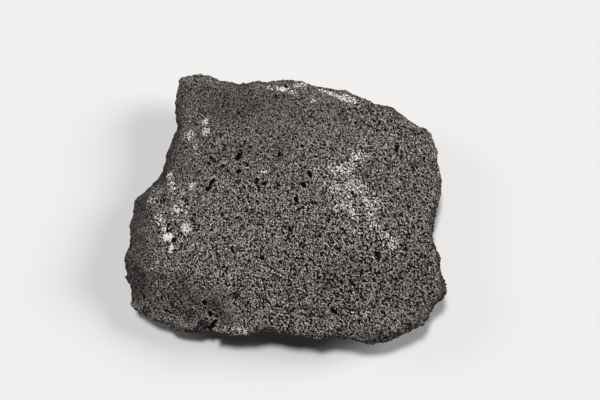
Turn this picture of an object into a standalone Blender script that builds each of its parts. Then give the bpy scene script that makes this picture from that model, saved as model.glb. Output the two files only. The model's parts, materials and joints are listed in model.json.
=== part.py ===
"""Lava rock: one broken slab of vesicular basalt, lying on its flattened sole.

The slab is lofted through closed sections between the sole and the crown, made uneven,
broken off in facets, and pitted with gas bubbles (vesicles).
Metres, +Z up, origin on the sole under the middle of the stone. +X is its longest side.
"""

import math
import random

import bmesh
import bpy
from mathutils import Matrix, Vector, noise
from mathutils.bvhtree import BVHTree

MM = 0.001

# Driving dimensions
CROWN_HEIGHT = 33 * MM  # top of the slab over the surface that it lies on
CROWN_FALL_X = 0.015  # the crown slopes down towards +X ...
CROWN_FALL_Y = 0.030  # ... and down towards -Y
CROWN_BEND = 0.9  # 1/m, how fast it falls away from its middle as well
CROWN_SHARE = 0.62  # size of the crown's section compared with the rim
FOOT_LIFT = 4.0 * MM  # how high the edge of the sole lies
SOLE_SHARE = 0.5  # size of the sole's inner section compared with the rim
SOLE_LIFT = 0.8 * MM  # how high that section lies
SOLE_DEPTH = 2.0 * MM  # how far the middle of the sole bulges before it is worn flat at z = 0
FLANK_SHARE = 0.45  # height of the flank's section as a share of the rim's
RIM_GROWTH = 1.2 * MM  # added all round, since the rim loses it when it is rounded
CELL = 2.2 * MM  # spacing of the points that the roughness moves
BODY_TRIANGLES = 3650  # the slab before its vesicles are cut
SEED = 7
WELD = 0.001 * MM  # points nearer than this to the cutting plane count as on it

# The rim, where the slab is widest: x, y and height, in mm, clockwise from the back left corner.
RIM = (
    (-54.0, 68.0, 22), (-51.0, 70.5, 22), (-45.5, 70.0, 22), (-34.5, 68.0, 23), (-28.5, 65.0, 24),
    (-21.5, 66.0, 24), (-8.0, 65.5, 25), (10.0, 66.5, 25), (16.5, 64.0, 25), (30.0, 62.0, 25),
    (45.5, 55.5, 24), (57.5, 50.0, 23), (68.0, 44.0, 22), (76.5, 39.5, 22), (77.0, 35.5, 21),
    (79.5, 28.5, 21), (78.0, 21.5, 21), (80.5, 17.0, 20), (78.5, 9.0, 20), (74.5, -9.5, 20),
    (73.5, -15.5, 20), (77.5, -24.5, 20), (79.5, -36.5, 19), (82.0, -43.0, 19), (76.0, -50.0, 19),
    (71.0, -57.0, 19), (68.5, -63.5, 19), (55.0, -66.5, 20), (44.5, -70.0, 21), (38.0, -70.5, 21),
    (31.0, -68.0, 21), (20.0, -68.5, 21), (1.5, -66.0, 22), (-13.0, -65.5, 22), (-26.5, -66.0, 21),
    (-32.5, -64.5, 18), (-40.0, -63.5, 14), (-51.0, -61.5, 11), (-62.0, -57.5, 10), (-72.0, -56.0, 10),
    (-75.5, -49.5, 11), (-76.0, -45.5, 12), (-82.0, -26.0, 14), (-79.0, -18.0, 14), (-76.5, -4.0, 15),
    (-70.0, 9.0, 16), (-64.0, 14.5, 16), (-58.0, 30.5, 18), (-54.0, 43.0, 19), (-55.0, 56.0, 21),
)

# Each side of the slab, by its bearing from +X, anticlockwise, in degrees: how far the foot and the
# flank lie inside the rim, and how far in and up the bevel above the rim goes, all in mm.
SIDES = (
    {"bearing": 0, "foot": 11, "flank": 2.0, "bevel_in": 5, "bevel_up": 6},
    {"bearing": 45, "foot": 9, "flank": 1.5, "bevel_in": 4, "bevel_up": 5},
    {"bearing": 90, "foot": 8, "flank": 1.0, "bevel_in": 3, "bevel_up": 4},
    {"bearing": 130, "foot": 9, "flank": 1.5, "bevel_in": 5, "bevel_up": 5},
    {"bearing": 165, "foot": 7, "flank": 1.0, "bevel_in": 8, "bevel_up": 8},
    {"bearing": 198, "foot": 6, "flank": 1.0, "bevel_in": 9, "bevel_up": 11},
    {"bearing": 222, "foot": 6, "flank": 1.0, "bevel_in": 6, "bevel_up": 10},
    {"bearing": 234, "foot": 8, "flank": 2.0, "bevel_in": 5, "bevel_up": 9},
    {"bearing": 248, "foot": 17, "flank": 6.0, "bevel_in": 4, "bevel_up": 5},
    {"bearing": 275, "foot": 21, "flank": 8.0, "bevel_in": 4, "bevel_up": 5},
    {"bearing": 320, "foot": 15, "flank": 4.0, "bevel_in": 6, "bevel_up": 7},
)

# Roughness: the size of the lumps and how far each lifts the surface, in mm.
LUMPS = ((46, 2.2), (19, 1.3), (8, 0.7))

# Broken facets. Each is aimed at a point in the stone, in mm, from a bearing and an elevation in degrees
# (below zero is from underneath). Where that line meets the stone it bites in by the depth, and it
# bends away from there with the radius, in mm: a large radius leaves a flat facet, a small one a scoop.
FACETS = (
    {"name": "corner_ledge", "aim": (-58, -52, 10), "from": (238, 66), "radius": 120, "depth": 1.6},
    {"name": "low_corner_ledge", "aim": (-70, -48, 10), "from": (215, 62), "radius": 60, "depth": 1.1},
    {"name": "smooth_chip", "aim": (-32, -53, 20), "from": (255, 68), "radius": 16, "depth": 2.8},
    {"name": "front_notch", "aim": (-37, -62, 18), "from": (265, 40), "radius": 5, "depth": 2.5},
    {"name": "back_left_facet", "aim": (-44, 54, 22), "from": (135, 80), "radius": 150, "depth": 1.6},
    {"name": "back_chamfer", "aim": (22, 60, 26), "from": (75, 52), "radius": 200, "depth": 1.4},
    {"name": "right_chamfer", "aim": (66, 4, 20), "from": (5, 68), "radius": 140, "depth": 1.2},
    {"name": "right_flank", "aim": (58, -20, 7), "from": (350, -42), "radius": 110, "depth": 2.0},
    {"name": "right_back_flank", "aim": (60, 24, 8), "from": (12, -30), "radius": 100, "depth": 2.2},
    {"name": "back_right_flank", "aim": (48, 45, 10), "from": (62, -24), "radius": 140, "depth": 3.0},
    {"name": "back_flank", "aim": (5, 55, 10), "from": (88, -20), "radius": 120, "depth": 2.8},
    {"name": "back_left_flank", "aim": (-35, 55, 10), "from": (102, -30), "radius": 90, "depth": 3.0},
    {"name": "left_back_flank", "aim": (-50, 30, 9), "from": (155, -24), "radius": 80, "depth": 2.8},
    {"name": "left_flank", "aim": (-65, -15, 6), "from": (185, -30), "radius": 90, "depth": 2.2},
    {"name": "front_left_flank", "aim": (-50, -48, 8), "from": (240, -44), "radius": 90, "depth": 2.0},
    {"name": "front_flank", "aim": (5, -50, 8), "from": (268, -42), "radius": 150, "depth": 3.2},
    {"name": "front_right_flank", "aim": (48, -48, 6), "from": (300, -46), "radius": 100, "depth": 2.0},
    {"name": "sole_right", "aim": (48, 0, 0), "from": (0, -84), "radius": 160, "depth": 3.2},
    {"name": "sole_front", "aim": (10, -40, 0), "from": (270, -82), "radius": 140, "depth": 3.2},
    {"name": "sole_left", "aim": (-48, -20, 0), "from": (190, -83), "radius": 120, "depth": 3.0},
    {"name": "sole_back", "aim": (0, 42, 0), "from": (90, -84), "radius": 130, "depth": 2.8},
)
FACET_POINTS = 26  # along each side of a facet's net
FACET_MARGIN = 1.8  # how much wider the net is than the bite
FACET_WAVES = ((15, 1.1), (6, 0.5))  # mm, size and height of a facet's unevenness
FACET_REACH = 30 * MM  # how far outside the stone a facet's cutter reaches

# Single large vesicles on the crown: x, y and radius, in mm.
LARGE_VESICLES = (
    (57.5, 25.5, 2.2),
    (59.5, 15.0, 1.7),
    (8.0, -1.5, 2.0),
    (-20.0, 21.5, 1.9),
    (-34.0, 8.0, 1.7),
    (-51.5, -20.5, 1.6),
)
LARGE_SINK = 0.2  # how deep the centre of a large vesicle lies, in its radii

VESICLE_COUNT = 150
VESICLE_RADIUS = (1.1, 2.3)  # mm, smallest and largest
VESICLE_SKEW = 2.2  # over 1 makes most of them small
VESICLE_GAP = 0.95  # least distance between two centres: this many times the sum of their radii ...
VESICLE_WALL = 1.2 * MM  # ... and this much more
VESICLE_LENGTH = (0.85, 1.25)  # stretch along one axis, least and most
VESICLE_WIDTH = (0.85, 1.1)  # and across it
UNDER_SHARE = 0.45  # how crowded the vesicles are on faces that look down, compared with the rest
UNDER_SLOPE = -0.7  # z of the normal under which a face looks down
THINNEST = 9 * MM  # no vesicle is cut where the stone is thinner than this
REST_CLEARANCE = 3 * MM  # no vesicle is cut this close above the middle of the sole
REST_RADIUS = 34 * MM
SKIN = 0.1 * MM  # how far under a face a sight line starts, to miss that face
MOST_TRIES = 200000
FAR_ABOVE = 100 * MM


def clear_scene():
    for obj in list(bpy.data.objects):
        bpy.data.objects.remove(obj, do_unlink=True)


def side_at(bearing):
    """The insets of the slab's side at this bearing, eased between the two listed sides around it."""
    for here, after in zip(SIDES, SIDES[1:] + SIDES[:1]):
        span = (after["bearing"] - here["bearing"]) % 360
        turned = (bearing - here["bearing"]) % 360
        if turned <= span:
            share = 0.5 - 0.5 * math.cos(math.pi * turned / span)
            return {key: here[key] + (after[key] - here[key]) * share for key in here if key != "bearing"}
    raise ValueError(bearing)


def crown_at(x, y):
    return CROWN_HEIGHT - CROWN_FALL_X * x + CROWN_FALL_Y * y - CROWN_BEND * (x * x + y * y)


def sections():
    """Closed sections from the middle of the sole up over the rim to the crown, as lists of points."""
    sole, foot, flank, rim, shoulder, crown = [], [], [], [], [], []
    for x, y, z in RIM:
        side = side_at(math.degrees(math.atan2(y, x)))
        out = Vector((x, y, 0)).normalized() * MM
        edge = Vector((x, y, z)) * MM + out / MM * RIM_GROWTH
        level = Vector((edge.x, edge.y, 0))
        foot.append(level - out * side["foot"] + Vector((0, 0, FOOT_LIFT)))
        sole.append(level * SOLE_SHARE + Vector((0, 0, SOLE_LIFT)))
        flank.append(level - out * side["flank"] + Vector((0, 0, edge.z * FLANK_SHARE)))
        rim.append(edge)
        inner = level - out * side["bevel_in"]
        shoulder.append(inner + Vector((0, 0, edge.z + side["bevel_up"] * MM)))
        middle = level * CROWN_SHARE
        crown.append(Vector((middle.x, middle.y, crown_at(middle.x, middle.y))))
    return sole, foot, flank, rim, shoulder, crown


def lofted_slab():
    """The slab before any roughness: quads between neighbouring sections, closed by a fan at each end."""
    shape = bmesh.new()
    rings = [[shape.verts.new(p) for p in section] for section in sections()]
    for low, high in zip(rings, rings[1:]):
        for i in range(len(low)):
            j = (i + 1) % len(low)
            shape.faces.new((low[i], high[i], high[j], low[j]))
    for ring, height in ((rings[0], -SOLE_DEPTH), (rings[-1], CROWN_HEIGHT)):
        middle = shape.verts.new((0, 0, height))
        for i in range(len(ring)):
            shape.faces.new((ring[i], ring[(i + 1) % len(ring)], middle))
    bmesh.ops.recalc_face_normals(shape, faces=shape.faces)
    mesh = bpy.data.meshes.new("lava_rock")
    shape.to_mesh(mesh)
    shape.free()
    return mesh


def apply_modifiers(obj):
    """Replaces the object's mesh by what its modifiers make of it."""
    graph = bpy.context.evaluated_depsgraph_get()
    mesh = bpy.data.meshes.new_from_object(obj.evaluated_get(graph))
    obj.modifiers.clear()
    obj.data = mesh
    return mesh


def even_cells(obj):
    """Rebuilds the object's surface with points about one cell apart."""
    remesh = obj.modifiers.new("even_cells", "REMESH")
    remesh.mode = "VOXEL"
    remesh.voxel_size = CELL
    return apply_modifiers(obj)


def waviness(point, waves):
    """How far a surface with these waves lies from its mean at this point."""
    heights = (height * noise.noise(point / (size * MM), noise_basis="PERLIN_NEW") for size, height in waves)
    return sum(heights) * MM


def roughen(mesh):
    """Moves each point along its normal by the sum of the lumps."""
    moved = []
    for vertex in mesh.vertices:
        moved.append(vertex.co + vertex.normal * waviness(vertex.co, LUMPS))
    for vertex, place in zip(mesh.vertices, moved):
        vertex.co = place


def surface_of(mesh):
    return BVHTree.FromPolygons([v.co for v in mesh.vertices], [p.vertices for p in mesh.polygons])


def facet_cutter(facet, surface):
    """A block outside the stone whose inner face is the facet: a wavy, slightly bent net of points."""
    bearing, elevation = (math.radians(angle) for angle in facet["from"])
    outward = Vector((math.cos(bearing), math.sin(bearing), 0)) * math.cos(elevation)
    outward.z = math.sin(elevation)
    aim = Vector(facet["aim"]) * MM
    spot = surface.ray_cast(aim + outward, -outward)[0]
    radius = facet["radius"] * MM
    depth = facet["depth"] * MM
    half = FACET_MARGIN * math.sqrt(2 * radius * depth)
    along = outward.orthogonal().normalized()
    across = outward.cross(along)
    shape = bmesh.new()
    last = FACET_POINTS - 1
    net = []
    for i in range(FACET_POINTS):
        for j in range(FACET_POINTS):
            u = half * (2 * i / last - 1)
            v = half * (2 * j / last - 1)
            flat = spot + along * u + across * v
            bent = (u * u + v * v) / (2 * radius)
            net.append(shape.verts.new(flat + outward * (bent - depth + waviness(flat, FACET_WAVES))))
    for i in range(last):
        for j in range(last):
            k = i * FACET_POINTS + j
            shape.faces.new((net[k], net[k + FACET_POINTS], net[k + FACET_POINTS + 1], net[k + 1]))
    walls = bmesh.ops.extrude_face_region(shape, geom=list(shape.faces))
    lid = [v for v in walls["geom"] if isinstance(v, bmesh.types.BMVert)]
    for vertex in lid:
        height = (vertex.co - spot).dot(outward)
        vertex.co += outward * (FACET_REACH - height)
    bmesh.ops.recalc_face_normals(shape, faces=shape.faces)
    mesh = bpy.data.meshes.new(facet["name"])
    shape.to_mesh(mesh)
    shape.free()
    return mesh


def wire_cutter(name, mesh, collection):
    cutter = bpy.data.objects.new(name, mesh)
    cutter.hide_render = True
    cutter.display_type = "WIRE"
    collection.objects.link(cutter)
    return cutter


def has_room(surface, spot, normal):
    """Whether a vesicle may be cut here: not where the stone is thin, and not in the face it lies on."""
    if spot.z < REST_CLEARANCE and spot.xy.length < REST_RADIUS:
        return False
    far_side = surface.ray_cast(spot - normal * SKIN, -normal)[0]
    return far_side is not None and (far_side - spot).length > THINNEST


def vesicle_sites(mesh, rng):
    """Where the vesicles lie and how large each is: the listed ones, then others spread over the surface."""
    surface = surface_of(mesh)
    sites = []
    for x, y, radius in LARGE_VESICLES:
        place, normal, _, _ = surface.ray_cast(Vector((x * MM, y * MM, FAR_ABOVE)), Vector((0, 0, -1)))
        sites.append((place - normal * LARGE_SINK * radius * MM, radius * MM))
    faces = list(mesh.polygons)
    areas = [p.area * (UNDER_SHARE if p.normal.z < UNDER_SLOPE else 1.0) for p in faces]
    low, high = VESICLE_RADIUS
    tries = 0
    while len(sites) < VESICLE_COUNT + len(LARGE_VESICLES) and tries < MOST_TRIES:
        tries += 1
        face = rng.choices(faces, areas)[0]
        corners = [mesh.vertices[i].co for i in face.vertices]
        a, b = rng.random(), rng.random()
        if a + b > 1:
            a, b = 1 - a, 1 - b
        spot = corners[0] + (corners[1] - corners[0]) * a + (corners[2] - corners[0]) * b
        radius = (low + (high - low) * rng.random() ** VESICLE_SKEW) * MM
        if not has_room(surface, spot, face.normal):
            continue
        if all((spot - other).length > VESICLE_GAP * (radius + size) + VESICLE_WALL for other, size in sites):
            sites.append((spot, radius))
    return sites


def vesicle_cutter(mesh, collection):
    rng = random.Random(SEED)
    shape = bmesh.new()
    for place, radius in vesicle_sites(mesh, rng):
        pole = Vector((rng.random(), rng.random(), 1)).normalized()
        turn = Matrix.Rotation(rng.uniform(0, math.tau), 4, pole)
        stretch = Matrix.Diagonal((rng.uniform(*VESICLE_LENGTH), rng.uniform(*VESICLE_WIDTH), 1, 1))
        bmesh.ops.create_icosphere(
            shape, subdivisions=1, radius=radius, matrix=Matrix.Translation(place) @ turn @ stretch
        )
    cut = bpy.data.meshes.new("vesicles")
    shape.to_mesh(cut)
    shape.free()
    return wire_cutter("vesicles", cut, collection)


def flatten_sole(mesh):
    """Cuts the stone off at z = 0, so that it lies flat."""
    shape = bmesh.new()
    shape.from_mesh(mesh)
    everything = list(shape.verts) + list(shape.edges) + list(shape.faces)
    cut = bmesh.ops.bisect_plane(
        shape, geom=everything, dist=WELD, plane_co=(0, 0, 0), plane_no=(0, 0, -1), clear_outer=True
    )
    edges = [e for e in cut["geom_cut"] if isinstance(e, bmesh.types.BMEdge)]
    bmesh.ops.triangle_fill(shape, use_beauty=True, use_dissolve=False, edges=edges, normal=(0, 0, -1))
    bmesh.ops.triangulate(shape, faces=[f for f in shape.faces if len(f.verts) > 3])
    bmesh.ops.recalc_face_normals(shape, faces=shape.faces)
    shape.to_mesh(mesh)
    shape.free()


def centre_on_box(mesh):
    """Slides the stone so that the origin is under the middle of its box."""
    for axis in (0, 1):
        along = [v.co[axis] for v in mesh.vertices]
        middle = (min(along) + max(along)) / 2
        for vertex in mesh.vertices:
            vertex.co[axis] -= middle


def basalt():
    material = bpy.data.materials.new("basalt")
    material.use_nodes = True
    shader = material.node_tree.nodes["Principled BSDF"]
    shader.inputs["Base Color"].default_value = (0.105, 0.094, 0.086, 1)
    shader.inputs["Roughness"].default_value = 0.9
    shader.inputs["Metallic"].default_value = 0.0
    return material


def build():
    clear_scene()
    stone_collection = bpy.data.collections.new("lava_rock")
    cutter_collection = bpy.data.collections.new("cutters")
    facet_collection = bpy.data.collections.new("facets")
    for collection in (stone_collection, cutter_collection):
        bpy.context.scene.collection.children.link(collection)
    cutter_collection.children.link(facet_collection)

    stone = bpy.data.objects.new("lava_rock", lofted_slab())
    stone_collection.objects.link(stone)

    roughen(even_cells(stone))
    body = even_cells(stone)

    surface = surface_of(body)
    for facet in FACETS:
        wire_cutter(facet["name"], facet_cutter(facet, surface), facet_collection)
    chip = stone.modifiers.new("facets", "BOOLEAN")
    chip.operation = "DIFFERENCE"
    chip.operand_type = "COLLECTION"
    chip.collection = facet_collection
    mesh = apply_modifiers(stone)

    triangles = sum(len(p.vertices) - 2 for p in mesh.polygons)
    thin = stone.modifiers.new("fewer_faces", "DECIMATE")
    thin.ratio = BODY_TRIANGLES / triangles
    thin.use_collapse_triangulate = True
    mesh = apply_modifiers(stone)

    pit = stone.modifiers.new("vesicles", "BOOLEAN")
    pit.operation = "DIFFERENCE"
    pit.object = vesicle_cutter(mesh, cutter_collection)
    mesh = apply_modifiers(stone)
    flatten_sole(mesh)
    centre_on_box(mesh)
    mesh.materials.clear()
    mesh.materials.append(basalt())


build()
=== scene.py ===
import json
import math
import random

import bmesh
import bpy
import numpy as np
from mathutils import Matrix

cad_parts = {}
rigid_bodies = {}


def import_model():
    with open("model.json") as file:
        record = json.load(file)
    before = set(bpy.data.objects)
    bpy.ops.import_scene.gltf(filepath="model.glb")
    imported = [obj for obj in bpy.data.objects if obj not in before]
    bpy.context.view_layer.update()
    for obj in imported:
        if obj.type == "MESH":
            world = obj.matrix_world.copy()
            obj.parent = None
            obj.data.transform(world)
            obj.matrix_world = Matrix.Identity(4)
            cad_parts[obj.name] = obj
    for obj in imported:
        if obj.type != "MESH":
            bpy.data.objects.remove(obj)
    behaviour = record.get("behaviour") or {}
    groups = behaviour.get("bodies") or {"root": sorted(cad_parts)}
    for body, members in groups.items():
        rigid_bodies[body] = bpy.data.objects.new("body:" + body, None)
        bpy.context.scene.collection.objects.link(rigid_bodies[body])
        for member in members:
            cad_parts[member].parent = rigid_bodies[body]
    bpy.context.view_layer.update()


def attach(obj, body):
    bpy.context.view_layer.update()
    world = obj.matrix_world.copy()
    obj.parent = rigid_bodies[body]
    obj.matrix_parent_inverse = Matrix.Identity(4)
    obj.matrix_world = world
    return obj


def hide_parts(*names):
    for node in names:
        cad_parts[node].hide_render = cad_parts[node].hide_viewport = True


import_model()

import openvdb
from mathutils import Matrix, Vector

# A slab of vesicular basalt, seen nearly from above. Its surface is carved on a fine grid
# around the solid: rough broken stone first, then thousands of gas bubbles that the break
# has cut open. Sizes and places are in mm, apart from the camera's and the floor's.

mm = 0.001
tiny = 1e-9                   # keeps a division off zero
dice = random.Random(11)      # the same stone each run


def linear(hexColour):
    # sRGB hex to the linear colour that shaders take
    parts = [int(hexColour[i:i + 2], 16) / 255 for i in (1, 3, 5)]
    return [c / 12.92 if c <= 0.04045 else ((c + 0.055) / 1.055) ** 2.4 for c in parts] + [1.0]


def addNode(tree, kind, settings=None, inputs=None):
    # each input takes a value, or the node or output that feeds it
    node = tree.nodes.new("ShaderNode" + kind)
    for name, value in (settings or {}).items():
        setattr(node, name, value)
    for name, value in (inputs or {}).items():
        source = value.outputs[0] if isinstance(value, bpy.types.Node) else value
        if isinstance(source, bpy.types.NodeSocket):
            tree.links.new(source, node.inputs[name])
        else:
            node.inputs[name].default_value = value
    return node


# the stone's shape

stone = {
    "node": "lava_rock",
    "body": "root",
    "slot": "basalt",
    "voxel": 0.34,            # between two grid points
    "band": 10,               # grid points kept on each side of the surface
    "margin": 4,              # grid points kept clear around the solid
    "fill": 1.6,              # the solid's own bubbles up to this radius are filled, to be cut finer
    "melt": 6,                # smoothing passes that melt the solid's flat faces together
    "rough": [(9.0, 0.38), (4.2, 0.22), (2.3, 0.13)],  # size and height of the break's roughness
    "flankRough": 1.8,        # how much rougher the steep sides are than the crown
    "crumb": [(1.3, 0.15), (0.8, 0.20)],  # size and height of the crumbs, which eat into the bubbles too
    "crumbSeed": 50,
    "flankCrumb": 0.6,        # how much deeper the crumbs are on the steep sides
    "calmCrumb": 0.35,        # how much shallower they are on calm skin
    "calmCut": (-0.6, 0.9),   # least and most calm that bubbles and crumbs follow
    "facing": 4,              # smoothing passes before it is settled which way a face looks
    "looksDown": -0.35,       # below this, 1 being straight up, a face is part of the underside
    "triangles": 197000,
    "underside": 34000,       # of them, on faces that look down
    "thinFirst": 1000,        # how much sooner the underside's faces are thinned than the rest
    "sharp": 60,              # degrees between faces that are shaded as an edge
}

# what each point of the stone tells its material
marking = {
    "names": ["height", "calm", "flank", "crust", "stainAndShade"],
    "upper": (6, 14),         # heights between which the places listed below fade in
    "calm": (-0.6, 1.0),      # least and most
    "relief": 6,              # smoothing passes that set what counts as a crest or a hollow
    "deep": (0.2, 0.9),       # under the broken surface, where a bubble starts to darken as painted shade and where it ends
    "deepShade": 0.4,          # how much lower the deepest looks than its relief, as painted shade
    "calmFlat": 0.25,         # share of its relief that calm skin loses to the eye
    "flank": (0.88, 0.42),    # how squarely a face looks up where the painted shade of the steep sides starts, and where it is full
    "crustOnCrests": 1.8,     # how much thicker crust is for each mm that a crest stands proud
    "crustGap": 0.9,          # taken off again, so that thin crust is left on the highest crests alone
    "leastCrust": 0.05,       # below it a place has none
    "noCrust": -9,            # too thin for any noise to bring it up
}

vesicles = {
    "seed": 3,
    "nearSurface": 0.5,       # grid steps from the surface within which one may be centred
    "slopeSteps": 2,          # grid steps to each side over which the surface's slope is taken
    "wall": (0.5, 2.1),       # between two bubbles, thinnest and thickest
    "radius": (0.27, 0.56),
    "skew": 1.6,              # above 1 makes most of them small
    "calmSmaller": 0.3,       # how much smaller they are on calm skin
    "calmFewer": 0.8,         # share of them that is missing there
    "sink": (-0.1, 0.5),      # how deep the centre lies, in radii
    "bearing": -53,           # degrees from +X, the way the lava flowed, which drew them out
    "turned": 35,             # how far they may lie off it, in degrees
    "long": (1.0, 2.1),
    "wide": (0.75, 1.1),
    "largeShare": 0.003,
    "largeRadius": (0.7, 1.2),
    "holeSink": 0.15,         # how deep the centre of a listed hole lies, in radii
    "holeTall": 1.2,          # its height against its width
}

# places on the crown, as x and y, for a spot, or for both ends of a band

# single deep bubbles: place, radius, how far each is drawn out, and towards which bearing
bubbleHoles = [
    {"at": (-22.9, 21.4), "radius": 1.5, "long": 1.5, "bearing": 67},
    {"at": (-22.0, 24.2), "radius": 0.9, "long": 1.5, "bearing": 100},
    {"at": (-28.4, 14.6), "radius": 0.9, "long": 1.9, "bearing": -50},
    {"at": (-30.1, 16.6), "radius": 0.9, "long": 1.3, "bearing": -30},
    {"at": (-22.9, 14.0), "radius": 1.2, "long": 1.3, "bearing": 20},
    {"at": (-18.7, 16.9), "radius": 0.9, "long": 1.6, "bearing": 100},
    {"at": (-37.8, 5.0), "radius": 1.2, "long": 1.4, "bearing": 40},
    {"at": (-36.4, 7.4), "radius": 1.0, "long": 1.6, "bearing": 70},
    {"at": (-35.4, 9.6), "radius": 1.0, "long": 1.4, "bearing": 60},
    {"at": (-14.1, 8.7), "radius": 1.2, "long": 1.5, "bearing": 75},
    {"at": (-10.1, 7.3), "radius": 1.1, "long": 1.7, "bearing": 10},
    {"at": (-12.6, 5.6), "radius": 0.9, "long": 1.5, "bearing": 120},
    {"at": (-2.6, 22.3), "radius": 1.0, "long": 1.6, "bearing": 85},
    {"at": (55.6, 27.4), "radius": 1.4, "long": 2.0, "bearing": 80},
    {"at": (53.2, -27.6), "radius": 1.5, "long": 1.1, "bearing": 10},
    {"at": (44.4, -27.9), "radius": 1.3, "long": 1.3, "bearing": 150},
    {"at": (5.8, -0.6), "radius": 1.3, "long": 1.5, "bearing": 95},
    {"at": (-53.9, -20.8), "radius": 1.2, "long": 1.3, "bearing": 40},
    # the crevice in the front edge, and pits in the ledges beside it
    {"at": (-38.4, -50.6), "radius": 1.2, "long": 1.4, "bearing": 130},
    {"at": (-35.6, -55.6), "radius": 1.3, "long": 1.2, "bearing": 100},
    {"at": (-33.4, -56.6), "radius": 0.6, "long": 2.8, "bearing": 150},
    {"at": (-34.0, -60.4), "radius": 1.5, "long": 1.7, "bearing": 55},
    {"at": (-35.6, -62.4), "radius": 2.5, "long": 1.3, "bearing": 75},
    {"at": (-57.2, -53.5), "radius": 0.8, "long": 2.4, "bearing": 150},
    {"at": (-69.0, -46.0), "radius": 0.8, "long": 2.0, "bearing": 120},
    {"at": (-39.7, -61.8), "radius": 0.9, "long": 1.3, "bearing": 20},
]

# older, smoother skin: where, how far it reaches, and how calm it is, below 0 where it is coarser; its
# darker tint also stands in for shade on the left bevel
calmBands = [
    {"from": (-73.5, -4.0), "to": (-75.0, -40.0), "reach": 13.0, "much": 1.0},   # left bevel, darkened this much as painted shade
    {"from": (-62.0, 14.0), "to": (-54.0, 62.0), "reach": 8.0, "much": 0.6},     # left edge
    {"from": (-46.0, 56.0), "to": (-28.0, 52.0), "reach": 17.0, "much": 0.5},    # back left corner
    {"from": (-20.0, 50.0), "to": (22.0, 46.0), "reach": 20.0, "much": 0.4},     # middle of the back
    {"from": (-32.0, -50.0), "to": (-27.0, -60.0), "reach": 8.0, "much": 0.7},   # chip beside the notch
    {"from": (-50.0, 24.0), "to": (-14.0, 40.0), "reach": 38.0, "much": 0.32},   # all of the left, lightly
    {"from": (-62.0, -44.0), "to": (-44.0, -54.0), "reach": 13.0, "much": 0.35},  # front left
    {"from": (10.0, -46.0), "to": (60.0, -24.0), "reach": 30.0, "much": -0.6},   # coarse front right
    {"at": (79.0, -42.0), "reach": 8.0, "much": 1.1},                            # tip of the right side
]

# where pale mineral crust clings: how far it reaches, and how thick it is
crusts = [
    # beside the hollow in the left edge
    {"at": (-40.3, 41.3), "reach": 2.6, "much": 0.9},
    {"at": (-39.5, 35.6), "reach": 3.0, "much": 1.1},
    {"at": (-47.8, 35.0), "reach": 4.2, "much": 0.8},
    {"at": (-43.9, 28.5), "reach": 3.2, "much": 0.6},
    # along the top of the left bevel
    {"from": (-57.5, 14.0), "to": (-55.5, 6.5), "reach": 2.8, "much": 0.75},
    {"at": (-45.6, 6.4), "reach": 2.6, "much": 0.7},
    {"at": (-65.3, 1.1), "reach": 3.4, "much": 0.9},
    {"at": (-51.5, 2.1), "reach": 3.2, "much": 0.95},
    {"at": (-51.3, -5.0), "reach": 5.4, "much": 0.95},
    {"at": (-60.7, -9.1), "reach": 4.4, "much": 0.9},
    {"at": (-58.6, -14.0), "reach": 2.6, "much": 0.8},
    {"at": (-56.7, -19.1), "reach": 3.2, "much": 1.9},
    {"at": (-48.0, -15.4), "reach": 3.4, "much": 1.5},
    {"from": (-55.0, -23.6), "to": (-55.4, -26.4), "reach": 1.6, "much": 1.2},
    # the wide patch on the right
    {"from": (28.0, 10.0), "to": (38.0, -10.0), "reach": 13.0, "much": 0.18},
    {"at": (37.0, 21.5), "reach": 5.0, "much": 0.8},
    {"from": (24.0, 13.5), "to": (33.0, 17.5), "reach": 4.5, "much": 0.65},
    {"at": (33.3, 8.4), "reach": 3.5, "much": 0.55},
    {"at": (25.0, 4.0), "reach": 4.5, "much": 0.45},
    {"from": (37.0, 5.0), "to": (44.5, -3.5), "reach": 5.0, "much": 0.5},
    {"at": (30.0, -3.0), "reach": 4.0, "much": 0.4},
    {"at": (34.0, -10.0), "reach": 5.0, "much": 0.5},
    {"from": (44.0, -12.0), "to": (52.0, -25.0), "reach": 6.0, "much": 0.4},
    # the back edge, and flecks beside the holes in the middle
    {"from": (-7.5, 60.3), "to": (-1.0, 58.8), "reach": 2.0, "much": 0.85},
    {"from": (-1.5, 59.4), "to": (5.0, 56.4), "reach": 2.0, "much": 0.9},
    {"at": (-12.4, 10.8), "reach": 1.2, "much": 1.3},
    {"from": (-12.0, 13.4), "to": (-9.0, 13.2), "reach": 1.2, "much": 1.0},
    {"from": (5.4, 61.6), "to": (10.0, 63.0), "reach": 2.0, "much": 0.9},
    {"from": (18.0, 59.8), "to": (22.5, 58.6), "reach": 1.8, "much": 0.8},
    {"from": (23.5, 58.0), "to": (34.5, 52.4), "reach": 2.2, "much": 1.15},
    {"from": (30.5, 57.4), "to": (37.0, 53.8), "reach": 1.6, "much": 0.9},
    {"at": (38.0, 50.4), "reach": 2.2, "much": 0.8},
    {"at": (13.7, 51.8), "reach": 2.2, "much": 1.0},
    # the front edge
    {"at": (21.9, -63.0), "reach": 2.2, "much": 0.9},
    {"at": (39.6, -57.7), "reach": 2.2, "much": 0.8},
    {"from": (-29.5, -63.5), "to": (-19.0, -65.8), "reach": 2.4, "much": 0.6},
]

# brown or reddish places; the ones along the front are made strong to darken the front, as painted shade
ironStainsAndShade = [
    {"at": (-45.6, -47.0), "reach": 13.0, "much": 0.9},
    {"at": (-62.0, -50.0), "reach": 12.0, "much": 0.8},
    {"at": (66.0, -42.0), "reach": 36.0, "much": 0.8},
    {"at": (66.0, 10.0), "reach": 26.0, "much": 0.5},
    {"at": (-24.0, 22.0), "reach": 10.0, "much": 0.4},
    {"at": (20.0, -56.0), "reach": 30.0, "much": 0.6},
    {"from": (36.0, 54.0), "to": (66.0, 42.0), "reach": 12.0, "much": 0.6},
    {"at": (30.0, -38.0), "reach": 12.0, "much": 0.6},
]


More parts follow.
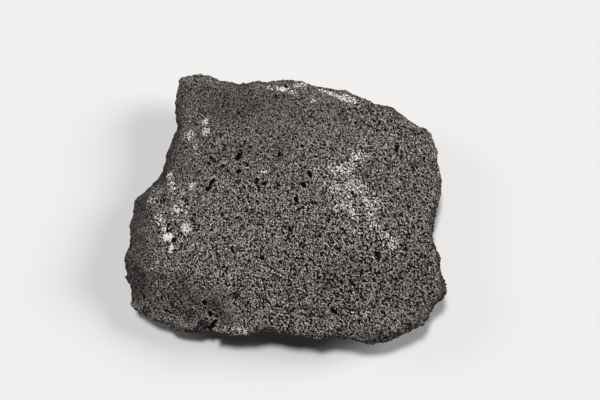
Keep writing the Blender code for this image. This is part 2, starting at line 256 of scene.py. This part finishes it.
def pointsOf(mesh):
    points = np.empty(len(mesh.vertices) * 3, np.float32)
    mesh.vertices.foreach_get("co", points)
    return points.reshape(-1, 3) / mm


def between(values, start, full):
    # 0 up to the start, rising to 1 where it is full
    return np.clip((values - start) / (full - start), 0, 1)


def levelSet(points, triangles, quads, voxel, band):
    return openvdb.FloatGrid.createLevelSetFromPolygons(
        points, triangles=triangles, quads=quads, halfWidth=band,
        transform=openvdb.createLinearTransform(voxelSize=voxel))


def gridOfSolid(obj, voxel, band):
    # signed distance to the solid, below zero inside, once its bubbles are filled
    mesh = obj.data
    mesh.calc_loop_triangles()
    points = pointsOf(mesh)
    corners = np.empty(len(mesh.loop_triangles) * 3, np.int32)
    mesh.loop_triangles.foreach_get("vertices", corners)
    noQuads = np.empty((0, 4), np.uint32)
    level = levelSet(points, corners.reshape(-1, 3).astype(np.uint32), noQuads, voxel, band)
    # grown so far that the bubbles close, and shrunk again by what is added below
    swollen = level.convertToPolygons(isovalue=stone["fill"], adaptivity=0)
    level = levelSet(*swollen, voxel, band)
    first = np.floor(points.min(0) / voxel).astype(int) - stone["margin"]
    last = np.ceil(points.max(0) / voxel).astype(int) + stone["margin"]
    field = np.zeros(last - first + 1, np.float32)
    level.copyToArray(field, ijk=tuple(int(i) for i in first))
    return field + stone["fill"], first * voxel


def soften(field, passes):
    # each pass averages every grid point with its neighbours
    for _ in range(passes):
        for axis in range(3):
            turned = np.moveaxis(field, axis, 0)
            inner = 0.5 * turned[1:-1] + 0.25 * (turned[:-2] + turned[2:])
            field = np.moveaxis(np.concatenate([turned[:1], inner, turned[-1:]]), 0, axis)
    return np.ascontiguousarray(field)


def lumps(shape, voxel, size, seed):
    # smooth random field, about -1 to 1, in lumps of this size: a cubic spline through random heights
    rng = np.random.default_rng(seed)
    step = size / 2 / voxel   # grid steps between two of those heights
    swing = 2.2               # how far they reach, since the spline evens them out
    field = rng.uniform(-swing, swing, [int(n / step) + 4 for n in shape]).astype(np.float32)
    for axis, n in enumerate(shape):
        where = np.arange(n) / step + 1
        cell = where.astype(int)
        t = (where - cell).astype(np.float32)[:, None, None]
        weights = [(1 - t) ** 3, 3 * t ** 3 - 6 * t ** 2 + 4, -3 * t ** 3 + 3 * t ** 2 + 3 * t + 1, t ** 3]
        field = np.moveaxis(field, axis, 0)
        field = sum(w / 6 * field[cell - 1 + k] for k, w in enumerate(weights))
        field = np.moveaxis(field, 0, axis)
    return field


def atPoints(field, low, voxel, points):
    # the field's value at each of the points
    where = (points - low) / voxel
    cell = np.clip(np.floor(where).astype(int), 0, np.array(field.shape) - 2)
    t = (where - cell).astype(np.float32)
    value = 0
    for corner in np.ndindex(2, 2, 2):
        share = np.prod([t[:, a] if corner[a] else 1 - t[:, a] for a in range(3)], axis=0)
        value = value + share * field[tuple(cell[:, a] + corner[a] for a in range(3))]
    return value


def nearness(points, places):
    # how much each point lies in the listed spots or bands, seen from above
    fade = 1.5                # full in the inner third of the reach, and down to 0 at its end
    total = 0
    for place in places:
        start = np.array(place.get("at", place.get("from")))
        span = np.array(place.get("to", start)) - start
        along = np.clip((points[..., :2] - start) @ span / max(span @ span, tiny), 0, 1)
        away = np.linalg.norm(points[..., :2] - start - along[..., None] * span, axis=-1) / place["reach"]
        total = total + place["much"] * np.clip(fade - fade * away, 0, 1)
    return total


def carveBall(field, low, voxel, centre, radius, turn, stretch):
    # takes one stretched bubble out of the stone
    reach = radius * max(stretch) + 2 * voxel
    first = np.maximum(np.floor((centre - reach - low) / voxel).astype(int), 0)
    last = np.minimum(np.ceil((centre + reach - low) / voxel).astype(int) + 1, field.shape)
    sides = [low[a] + voxel * np.arange(first[a], last[a]) - centre[a] for a in range(3)]
    x, y, z = np.meshgrid(*sides, indexing="ij", sparse=True)
    squared = 0
    for axis, longer in zip(turn, stretch):
        squared = squared + ((x * axis[0] + y * axis[1] + z * axis[2]) / longer) ** 2
    part = field[first[0]:last[0], first[1]:last[1], first[2]:last[2]]
    np.maximum(part, radius - np.sqrt(squared), out=part)


def cutVesicles(field, whole, low, voxel, calm):
    # the break has opened a bubble wherever one is centred near the surface of the whole stone
    spots = np.argwhere(np.abs(field) < vesicles["nearSurface"] * voxel)
    spots = spots[np.random.default_rng(vesicles["seed"]).permutation(len(spots))]
    taken = np.zeros(field.shape, bool)
    step = vesicles["slopeSteps"]
    count = 0
    for i, j, k in spots:
        if taken[i, j, k]:
            continue
        slope = np.array([whole[i + step, j, k] - whole[i - step, j, k],
                          whole[i, j + step, k] - whole[i, j - step, k],
                          whole[i, j, k + step] - whole[i, j, k - step]])
        outward = slope / (np.linalg.norm(slope) + tiny)
        least, most = vesicles["largeRadius" if dice.random() < vesicles["largeShare"] else "radius"]
        radius = least + (most - least) * dice.random() ** vesicles["skew"]
        radius *= 1 - vesicles["calmSmaller"] * calm[i, j]
        gap = int((dice.uniform(*vesicles["wall"]) / 2 + radius) / voxel)
        taken[i - gap:i + gap + 1, j - gap:j + gap + 1, k - gap:k + gap + 1] = True
        if dice.random() < vesicles["calmFewer"] * calm[i, j]:
            continue
        centre = low + voxel * np.array([i, j, k]) - outward * radius * dice.uniform(*vesicles["sink"])
        bearing = vesicles["bearing"] + vesicles["turned"] * dice.uniform(-1, 1)
        turn = Matrix.Rotation(-math.radians(bearing), 3, "Z")
        stretch = [dice.uniform(*vesicles["long"]), dice.uniform(*vesicles["wide"]), 1]
        carveBall(field, low, voxel, centre, radius, turn, stretch)
        count += 1
    return count


def cutHoles(field, whole, low, voxel):
    # the listed holes, each down from the top of the whole stone
    for hole in bubbleHoles:
        i, j = (int(round((hole["at"][a] - low[a]) / voxel)) for a in (0, 1))
        k = np.flatnonzero(whole[i, j] < 0)[-1]
        sunk = np.array([0, 0, vesicles["holeSink"] * hole["radius"]])
        centre = low + voxel * np.array([i, j, k]) - sunk
        turn = Matrix.Rotation(math.radians(-hole["bearing"]), 3, "Z")
        carveBall(field, low, voxel, centre, hole["radius"], turn, [hole["long"], 1, vesicles["holeTall"]])


def meshOfGrid(field, low, voxel, band, name):
    edge = band * voxel
    grid = openvdb.FloatGrid(edge)
    grid.copyFromArray(np.clip(field, -edge, edge), ijk=tuple(int(round(c / voxel)) for c in low))
    grid.transform = openvdb.createLinearTransform(voxelSize=voxel)
    points, triangles, quads = grid.convertToPolygons(isovalue=0, adaptivity=0)
    mesh = bpy.data.meshes.new(name)
    mesh.vertices.add(len(points))
    mesh.vertices.foreach_set("co", (points * mm).ravel())
    # each face's points are turned round, so that it looks outwards
    corners = np.concatenate([quads[:, ::-1].ravel(), triangles[:, ::-1].ravel()]).astype(np.int32)
    starts = np.concatenate([np.arange(len(quads)) * 4, len(quads) * 4 + np.arange(len(triangles)) * 3])
    mesh.loops.add(len(corners))
    mesh.loops.foreach_set("vertex_index", corners)
    mesh.polygons.add(len(starts))
    mesh.polygons.foreach_set("loop_start", starts.astype(np.int32))
    mesh.update(calc_edges=True)
    return mesh


def applyThin(piece, ratio, group=""):
    thin = piece.modifiers.new("thin", "DECIMATE")
    thin.ratio = ratio
    thin.use_collapse_triangulate = True
    thin.vertex_group = group
    thin.vertex_group_factor = stone["thinFirst"]
    mesh = bpy.data.meshes.new_from_object(piece.evaluated_get(bpy.context.evaluated_depsgraph_get()))
    piece.modifiers.clear()
    piece.data = mesh
    return mesh


def thinOut(piece, facing, low, voxel):
    # first the faces that look down, which nobody sees close, then the whole stone
    mesh = piece.data
    under = atPoints(facing, low, voxel, pointsOf(mesh)) < stone["looksDown"] * voxel
    group = piece.vertex_groups.new(name="underside")
    group.add(np.flatnonzero(under).tolist(), 1.0, "REPLACE")
    total = 2 * len(mesh.polygons)  # the grid gives quads
    underTotal = total * under.mean()
    mesh = applyThin(piece, (total - underTotal + stone["underside"]) / total, group.name)
    print("underside thinned:", total, "to", len(mesh.polygons), "triangles")
    mesh = applyThin(piece, stone["triangles"] / len(mesh.polygons))
    piece.vertex_groups.clear()
    return mesh


def keepLargest(mesh):
    # drops crumbs that float free and bubbles that never opened
    edges = np.empty(len(mesh.edges) * 2, np.int32)
    mesh.edges.foreach_get("vertices", edges)
    parent = list(range(len(mesh.vertices)))

    def rootOf(point):
        # each point leads to another of its body, and so to the one root that they share
        while parent[point] != point:
            parent[point] = parent[parent[point]]
            point = parent[point]
        return point

    for start, end in edges.reshape(-1, 2).tolist():
        parent[rootOf(start)] = rootOf(end)
    roots = np.array([rootOf(point) for point in range(len(parent))])
    found, sizes = np.unique(roots, return_counts=True)
    loose = np.flatnonzero(roots != found[sizes.argmax()])
    shape = bmesh.new()
    shape.from_mesh(mesh)
    shape.verts.ensure_lookup_table()
    bmesh.ops.delete(shape, geom=[shape.verts[i] for i in loose], context="VERTS")
    shape.to_mesh(mesh)
    shape.free()
    return len(loose)


def markStone(mesh, field, unpitted, facing, low, voxel):
    points = pointsOf(mesh)
    upper = between(points[:, 2], *marking["upper"])
    calm = np.clip(nearness(points, calmBands), *marking["calm"]) * upper
    relief = atPoints(soften(field, marking["relief"]), low, voxel, points)
    deep = between(atPoints(-unpitted, low, voxel, points), *marking["deep"])
    crusted = nearness(points, crusts) * upper
    thickness = crusted + marking["crustOnCrests"] * relief - marking["crustGap"]
    marks = {
        # hollows and the deep insides of bubbles sit lower, so that their tone is painted shade
        "height": (relief - marking["deepShade"] * deep) * (1 - marking["calmFlat"] * calm),
        "calm": calm,
        "flank": between(atPoints(facing, low, voxel, points) / voxel, *marking["flank"]),
        "crust": np.where(crusted > marking["leastCrust"], thickness, marking["noCrust"]),
        "stainAndShade": nearness(points, ironStainsAndShade),
    }
    for name in marking["names"]:
        mark = mesh.attributes.new(name, "FLOAT", "POINT")
        mark.data.foreach_set("value", marks[name].astype(np.float32))


def carveStone():
    voxel = stone["voxel"]
    field, low = gridOfSolid(bpy.data.objects[stone["node"]], voxel, stone["band"])
    field = soften(field, stone["melt"])
    steep = np.clip(1 - np.abs(np.gradient(field, axis=2)) / voxel, 0, 1)
    for seed, (size, height) in enumerate(stone["rough"]):
        field += lumps(field.shape, voxel, size, seed) * height * (1 + stone["flankRough"] * steep)
    unpitted = field.copy()
    print("rough stone on a grid of", field.shape)

    sides = [low[a] + voxel * np.arange(field.shape[a]) for a in (0, 1)]
    plan = np.stack(np.meshgrid(*sides, indexing="ij"), -1)
    calm = np.clip(nearness(plan, calmBands), *stone["calmCut"]).astype(np.float32)
    print("vesicles:", cutVesicles(field, unpitted, low, voxel, calm))
    cutHoles(field, unpitted, low, voxel)
    deeper = (1 - stone["calmCrumb"] * calm)[:, :, None] * (1 + stone["flankCrumb"] * steep)
    for seed, (size, height) in enumerate(stone["crumb"]):
        field += lumps(field.shape, voxel, size, stone["crumbSeed"] + seed) * height * deeper
    floorCut = -(low[2] + voxel * np.arange(field.shape[2], dtype=np.float32))
    np.maximum(field, floorCut, out=field)  # worn flat where it rests

    piece = bpy.data.objects.new("lavaStone", meshOfGrid(field, low, voxel, stone["band"], "lavaStone"))
    bpy.context.scene.collection.objects.link(piece)
    facing = np.gradient(soften(unpitted, stone["facing"]), axis=2)
    mesh = thinOut(piece, facing, low, voxel)
    print("loose points dropped:", keepLargest(mesh))
    mesh.shade_smooth()
    mesh.set_sharp_from_angle(angle=math.radians(stone["sharp"]))
    markStone(mesh, field, unpitted, facing, low, voxel)
    print("stone:", len(mesh.polygons), "triangles")
    return piece


# Vesicular basalt, broken and weathered: matt dark grey, painted near black inside each bubble as the shade
# there, and paler where crests between bubbles are rubbed. The steep sides are painted darker as shade. A
# pale lime crust clings to the crests in flecks, and iron has stained some of the rock brown, with the
# stains along the front made darker as painted shade.

basalt = {
    # height against colour, from the bottom of a bubble, painted near black as its shade, up to a rubbed
    # crest
    "tones": [
        (-0.30, "#020100"),
        (-0.14, "#080605"),
        (-0.09, "#43403e"),
        (-0.04, "#666260"),
        (0.30, "#8c8986"),
    ],
    # the pattern is drawn out along the flow, in degrees from +X, and rolled about it
    "flow": {"bearing": -53, "roll": 35, "stretch": 1.5},
    # lumps of noise: how wide, how finely broken, and what they run between
    "noises": {
        # shifts the tone by so many mm, and frays the spots
        "edge": {"size": 0.7, "detail": 1.0, "least": -0.16, "most": 0.16},
        # times the tone; the rock's crystals are under 0.1 mm and are drawn coarser, so that they show
        "grain": {"size": 0.42, "detail": 0.0, "least": -1.9, "most": 3.9},
        # how much the colour leans to either side, in patches
        "warmCast": {"size": 4.5, "detail": 2.0, "least": -0.4, "most": 0.7},
        "coolCast": {"size": 3.1, "detail": 2.0, "least": -0.4, "most": 0.7},
        # what is left of a stain from place to place
        "stainAndShade": {"size": 5.0, "detail": 3.0, "least": 0.0, "most": 1.0},
        # the crust's own flecks and gaps, and its wider patches
        "fleck": {"size": 0.7, "detail": 1.0, "least": -1.7, "most": 1.7},
        "patch": {"size": 4.2, "detail": 2.0, "least": -0.75, "most": 0.75},
        # roughness finer than what is carved
        "bump": {"size": 0.5, "detail": 2.0, "least": -1.0, "most": 1.0},
    },
    "noiseReach": (0.2, 0.8),   # plain noise seldom leaves these
    # one spot in each cell of so many mm: its radius in cells, and the same inside which it is full;
    # pores are the bubbles too fine to carve, drawn coarser than the real ones so that they show, and
    # painted near black as the shade inside them
    "poreShade": {"size": 0.74, "radius": 0.38, "full": 0.22},
    # pale feldspar crystals, which are partly painted glints
    "feldsparGlint": {"size": 1.3, "radius": 0.26, "full": 0.14},
    "colours": {
        # calm skin's darker tint, partly painted shade on the left bevel
        "calm": "#b8b6b6",
        # painted shade on the steep sides, which face away from the light
        "flank": "#8a8786",
        "warmCast": "#fff1ed",
        "coolCast": "#f2f6ee",
        # brown stain, and along the front painted shade as well
        "stainAndShade": "#bea08e",
        # pale feldspar, partly a painted glint
        "feldsparGlint": "#c0bbb4",
        "limeCrust": "#f0ede8",
        # painted shade inside the finest bubbles, near black
        "poreShade": "#080503",
    },
    "filled": (0.5, 1.0),       # crust so thick starts to fill the finest bubbles, and fills them
    "crustEdge": (0.14, 0.26),  # where crust starts and where it covers fully
    "bumpHeight": 0.25,         # from lowest to highest
    "poreDepth": 1.5,           # against half of that
    "roughness": 0.9,
    "ior": 1.5,
    "gloss": 0.2,               # specular level, low since the rough grain traps what it reflects
}


def basaltNoises(tree, place):
    noises = {}
    low, high = basalt["noiseReach"]
    for name, lump in basalt["noises"].items():
        made = addNode(tree, "TexNoise", None,
                       {"Vector": place, "Scale": 1 / (lump["size"] * mm), "Detail": lump["detail"]})
        noises[name] = addNode(tree, "MapRange", {"clamp": False},
                               {"Value": made, "From Min": low, "From Max": high,
                                "To Min": lump["least"], "To Max": lump["most"]})
    return noises


def basaltSpots(tree, place, edge):
    # spots with ragged edges
    spots = {}
    for name in ("poreShade", "feldsparGlint"):
        spot = basalt[name]
        cells = addNode(tree, "TexVoronoi", None, {"Vector": place, "Scale": 1 / (spot["size"] * mm)})
        ragged = addNode(tree, "Math", {"operation": "ADD"}, {0: cells, 1: edge})
        spots[name] = addNode(tree, "MapRange", None,
                              {"Value": ragged, "From Min": spot["radius"], "From Max": spot["full"]})
    return spots


def basaltTone(tree, height):
    # bare rock's colour, by how high it stands
    tones = basalt["tones"]
    least, most = tones[0][0], tones[-1][0]
    height = addNode(tree, "MapRange", None, {"Value": height, "From Min": least, "From Max": most})
    tint = addNode(tree, "ValToRGB", None, {"Fac": height})
    while len(tint.color_ramp.elements) < len(tones):
        tint.color_ramp.elements.new(1.0)
    for element, (level, colour) in zip(tint.color_ramp.elements, tones):
        element.position = (level - least) / (most - least)
        element.color = linear(colour)
    return tint


def basaltCrust(tree, thickness, noises):
    # how much of the rock the crust hides
    crust = addNode(tree, "Math", {"operation": "ADD"}, {0: thickness, 1: noises["fleck"]})
    crust = addNode(tree, "Math", {"operation": "ADD"}, {0: crust, 1: noises["patch"]})
    start, full = basalt["crustEdge"]
    return addNode(tree, "MapRange", None, {"Value": crust, "From Min": start, "From Max": full})


def vesicularBasalt():
    material = bpy.data.materials.new("vesicularBasalt")
    material.use_nodes = True
    tree = material.node_tree
    shader = tree.nodes["Principled BSDF"]
    marks = {name: addNode(tree, "Attribute", {"attribute_name": name}).outputs["Fac"]
             for name in marking["names"]}
    flow = basalt["flow"]
    turn = (math.radians(flow["roll"]), 0, math.radians(flow["bearing"]))
    place = addNode(tree, "TexCoord").outputs["Object"]
    place = addNode(tree, "Mapping", {"vector_type": "TEXTURE"},
                    {"Vector": place, "Rotation": turn, "Scale": (flow["stretch"], 1, 1)})
    noises = basaltNoises(tree, place)
    spots = basaltSpots(tree, place, noises["edge"])

    height = addNode(tree, "Math", {"operation": "ADD"}, {0: marks["height"], 1: noises["edge"]})
    tint = basaltTone(tree, height)
    grain = addNode(tree, "Math", {"operation": "MAXIMUM"}, {0: noises["grain"], 1: 0.0})
    colour = addNode(tree, "VectorMath", {"operation": "SCALE"}, {0: tint, "Scale": grain}).outputs[0]
    stainedAndShaded = addNode(tree, "Math", {"operation": "MULTIPLY"}, {0: marks["stainAndShade"], 1: noises["stainAndShade"]})
    busy = addNode(tree, "MapRange", None, {"Value": marks["calm"], "From Min": 1.0, "From Max": 0.0})
    start, full = basalt["filled"]
    unfilled = addNode(tree, "MapRange", None,
                       {"Value": marks["crust"], "From Min": full, "From Max": start})
    # painted shade of the pores, where the skin is busy and the crust leaves them open
    poreShadeMask = addNode(tree, "Math", {"operation": "MULTIPLY"}, {0: spots["poreShade"], 1: busy})
    poreShadeMask = addNode(tree, "Math", {"operation": "MULTIPLY"}, {0: poreShadeMask, 1: unfilled})
    feldsparGlints = addNode(tree, "Math", {"operation": "MULTIPLY"}, {0: spots["feldsparGlint"], 1: busy})
    layers = [                # from the bare rock outwards
        ("MULTIPLY", "calm", marks["calm"]),
        # the steep sides darkened as painted shade
        ("MULTIPLY", "flank", marks["flank"]),
        ("MULTIPLY", "warmCast", noises["warmCast"]),
        ("MULTIPLY", "coolCast", noises["coolCast"]),
        # real brown stains, with the front ones partly painted shade
        ("MULTIPLY", "stainAndShade", stainedAndShaded),
        # feldspar specks, partly painted glints
        ("MIX", "feldsparGlint", feldsparGlints),
        ("MIX", "limeCrust", basaltCrust(tree, marks["crust"], noises)),
        # the pores' near-black colour is painted shade
        ("MIX", "poreShade", poreShadeMask),
    ]
    under, over, mixed = 6, 7, 2  # the Mix node's sockets for colours
    for blend, name, share in layers:
        colour = addNode(tree, "Mix", {"data_type": "RGBA", "blend_type": blend},
                         {0: share, under: colour, over: linear(basalt["colours"][name])}).outputs[mixed]

    sunken = addNode(tree, "Math", {"operation": "MULTIPLY_ADD"},
                     {0: poreShadeMask, 1: -basalt["poreDepth"], 2: noises["bump"]})
    bump = addNode(tree, "Bump", None, {"Height": sunken, "Strength": 1.0,
                                        "Distance": basalt["bumpHeight"] / 2 * mm})
    tree.links.new(colour, shader.inputs["Base Color"])
    tree.links.new(bump.outputs[0], shader.inputs["Normal"])
    shader.inputs["Roughness"].default_value = basalt["roughness"]
    shader.inputs["IOR"].default_value = basalt["ior"]
    shader.inputs["Specular IOR Level"].default_value = basalt["gloss"]
    return material


piece = carveStone()
piece.data.materials.append(vesicularBasalt())
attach(piece, stone["body"])
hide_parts(stone["node"])
print("basalt laid on the stone")

# floor, lights and camera

studio = {
    "floorSize": 12.0,        # metres
    "floorColour": "#f2f0ef",
    "floorRoughness": 0.9,
    "fill": 0.03,             # what the dim room adds from all sides
    "backdrop": 0.87,         # how bright the room's pale wall looks behind the floor
    "wallColour": "#ffffff",
    "suns": [                 # even light: the way to it, its width in degrees, and W per square metre
        {"name": "lightAbove", "way": (-0.10, 0.12, 1.02), "width": 10, "power": 1.93},
        {"name": "lightRight", "way": (0.64, 0.16, 0.41), "width": 28, "power": 1.72},
        {"name": "lightLeft", "way": (-0.62, 0.16, 0.42), "width": 22, "power": 0.42},
    ],
}

camera = {                    # metres, apart from the lens and the sensor, in mm
    "elevation": 72,          # degrees above the floor
    "distance": 0.583,
    "target": (0.0076, 0.0, 0.0205),
    "rise": 0.0026,           # how far the target lies below the frame's middle
    "lens": 70,
    "sensor": 36,
    "nearest": 0.01,          # nothing nearer is drawn
}


def layFloor():
    mesh = bpy.data.meshes.new("floor")
    half = studio["floorSize"] / 2
    corners = [(-half, -half, 0), (half, -half, 0), (half, half, 0), (-half, half, 0)]
    mesh.from_pydata(corners, [], [(0, 1, 2, 3)])
    floor = bpy.data.objects.new("floor", mesh)
    bpy.context.scene.collection.objects.link(floor)
    # matt emulsion paint, rolled on: pale and with no shine, so that it shows soft shadows alone
    material = bpy.data.materials.new("mattPaint")
    material.use_nodes = True
    shader = material.node_tree.nodes["Principled BSDF"]
    shader.inputs["Base Color"].default_value = linear(studio["floorColour"])
    shader.inputs["Roughness"].default_value = studio["floorRoughness"]
    mesh.materials.append(material)


def hangLights():
    for sun in studio["suns"]:
        lamp = bpy.data.lights.new(sun["name"], "SUN")
        lamp.angle = math.radians(sun["width"])
        lamp.energy = sun["power"]
        obj = bpy.data.objects.new(sun["name"], lamp)
        obj.location = sun["way"]
        obj.rotation_euler = Vector(sun["way"]).to_track_quat("Z", "Y").to_euler()
        bpy.context.scene.collection.objects.link(obj)


def paintRoom():
    # a pale wall to look at, which lights the stone only dimly
    world = bpy.data.worlds.new("paleRoom")
    bpy.context.scene.world = world
    world.use_nodes = True
    tree = world.node_tree
    seen = addNode(tree, "LightPath").outputs["Is Camera Ray"]
    strength = addNode(tree, "MapRange", None,
                       {"Value": seen, "To Min": studio["fill"], "To Max": studio["backdrop"]})
    background = tree.nodes["Background"]
    tree.links.new(strength.outputs[0], background.inputs["Strength"])
    background.inputs["Color"].default_value = linear(studio["wallColour"])


def placeCamera():
    tilt = math.radians(camera["elevation"])
    away = Vector((0, -math.cos(tilt), math.sin(tilt)))
    up = Vector((0, math.sin(tilt), math.cos(tilt)))
    lens = bpy.data.cameras.new("camera")
    lens.lens = camera["lens"]
    lens.sensor_width = camera["sensor"]
    lens.clip_start = camera["nearest"]
    obj = bpy.data.objects.new("camera", lens)
    obj.location = Vector(camera["target"]) + up * camera["rise"] + away * camera["distance"]
    obj.rotation_euler = (math.pi / 2 - tilt, 0, 0)
    bpy.context.scene.collection.objects.link(obj)
    bpy.context.scene.camera = obj


bpy.context.scene.view_settings.view_transform = "Standard"
layFloor()
hangLights()
paintRoom()
placeCamera()
print("floor, lights and camera placed")
